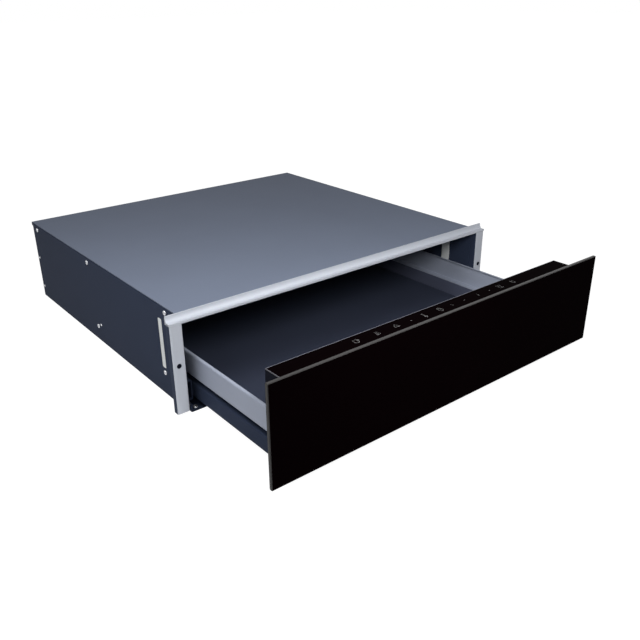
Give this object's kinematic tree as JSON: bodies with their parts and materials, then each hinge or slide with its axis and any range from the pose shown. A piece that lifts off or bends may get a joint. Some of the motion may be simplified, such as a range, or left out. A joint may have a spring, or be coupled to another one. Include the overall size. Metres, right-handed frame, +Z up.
{
  "type": "built-in warming drawer",
  "caption": "Built-in warming drawer: sheet-metal housing with a trim frame, and a heated drawer on ball slides behind a black glass front with touch controls on its top edge.",
  "frame": {"origin": "on the underside of the housing, halfway across, in the plane of the cabinet's front edge (the back of the trim frame)", "axes": "+X to the right as seen from the front, +Y back into the cabinet, +Z up; the drawer opens along -Y"},
  "size_m": [0.595, 0.7446, 0.143],
  "materials": {
    "dark_paint": "dark blue-grey satin paint",
    "cover_paint": "mid grey satin coated sheet",
    "frame_aluminium": "satin",
    "slide_zinc": "satin zinc",
    "bright_steel": "bright",
    "black_glass": "polished, black enamel behind",
    "plate_glass": "satin, dark enamel behind",
    "black_plastic": "fine grain",
    "pale_nylon": "pale moulded nylon",
    "black_rubber": "matt",
    "circuit_board": "solder resist",
    "terminal_ceramic": "unglazed",
    "fan_aluminium": "pressed sheet"
  },
  "bodies": {
    "housing": {"base_panel": "dark_paint", "left_side_panel": "dark_paint", "right_side_panel": "dark_paint", "rear_panel": "dark_paint", "top_cover": "cover_paint", "top_rail": "frame_aluminium", "left_front_post": "frame_aluminium", "right_front_post": "frame_aluminium", "left_slot_insert": "pale_nylon", "right_slot_insert": "pale_nylon", "left_hole_cap": "black_plastic", "right_hole_cap": "black_plastic", "left_foot_bracket": "dark_paint", "right_foot_bracket": "dark_paint", "left_slide_bracket": "dark_paint", "right_slide_bracket": "dark_paint", "left_outer_slide": "slide_zinc", "right_outer_slide": "slide_zinc", "terminal_box": "black_plastic", "terminal_block": "terminal_ceramic", "cable_grommet": "black_rubber", "latch_body": "black_plastic"},
    "drawer": {"front_glass": "black_glass", "front_plate": "dark_paint", "control_box": "black_plastic", "control_strip": "black_glass", "control_board": "circuit_board", "power_board": "circuit_board", "left_drawer_wall": "slide_zinc", "right_drawer_wall": "slide_zinc", "left_drawer_slide": "dark_paint", "right_drawer_slide": "dark_paint", "left_drawer_skirt": "dark_paint", "right_drawer_skirt": "dark_paint", "drawer_front_panel": "dark_paint", "drawer_pan": "dark_paint", "drawer_rear_wall": "dark_paint", "warming_plate": "plate_glass", "heating_element": "bright_steel", "thermostat": "bright_steel", "fan_cover": "dark_paint", "fan_motor": "slide_zinc", "latch_striker": "slide_zinc"},
    "left_cage": {"left_ball_cage": "bright_steel"},
    "right_cage": {"right_ball_cage": "bright_steel"},
    "fan": {"fan_wheel": "fan_aluminium"},
    "plunger": {"latch_plunger": "slide_zinc"}
  },
  "joints": [
    {"name": "drawer_slide", "type": "slide", "parent": "housing", "child": "drawer", "axis": [0, -1, 0], "range_m": [-0.204, 0.126]},
    {"name": "left_cage_slide", "type": "slide", "parent": "housing", "child": "left_cage", "axis": [0, -1, 0], "range_m": [-0.102, 0.063]},
    {"name": "right_cage_slide", "type": "slide", "parent": "housing", "child": "right_cage", "axis": [0, -1, 0], "range_m": [-0.102, 0.063]},
    {"name": "fan_spin", "type": "hinge", "parent": "drawer", "child": "fan", "pos_m": [0, 0.23, 0.068], "axis": [0, 1, 0], "continuous": true},
    {"name": "plunger_push", "type": "slide", "parent": "housing", "child": "plunger", "axis": [0, 1, 0], "range_m": [0, 0.004], "stiffness_N_per_m": 400, "springref_m": -0.002}
  ],
  "couplings": [
    {"joint": "left_cage_slide", "follows": "drawer_slide", "ratio": 0.5},
    {"joint": "right_cage_slide", "follows": "drawer_slide", "ratio": 0.5}
  ]
}
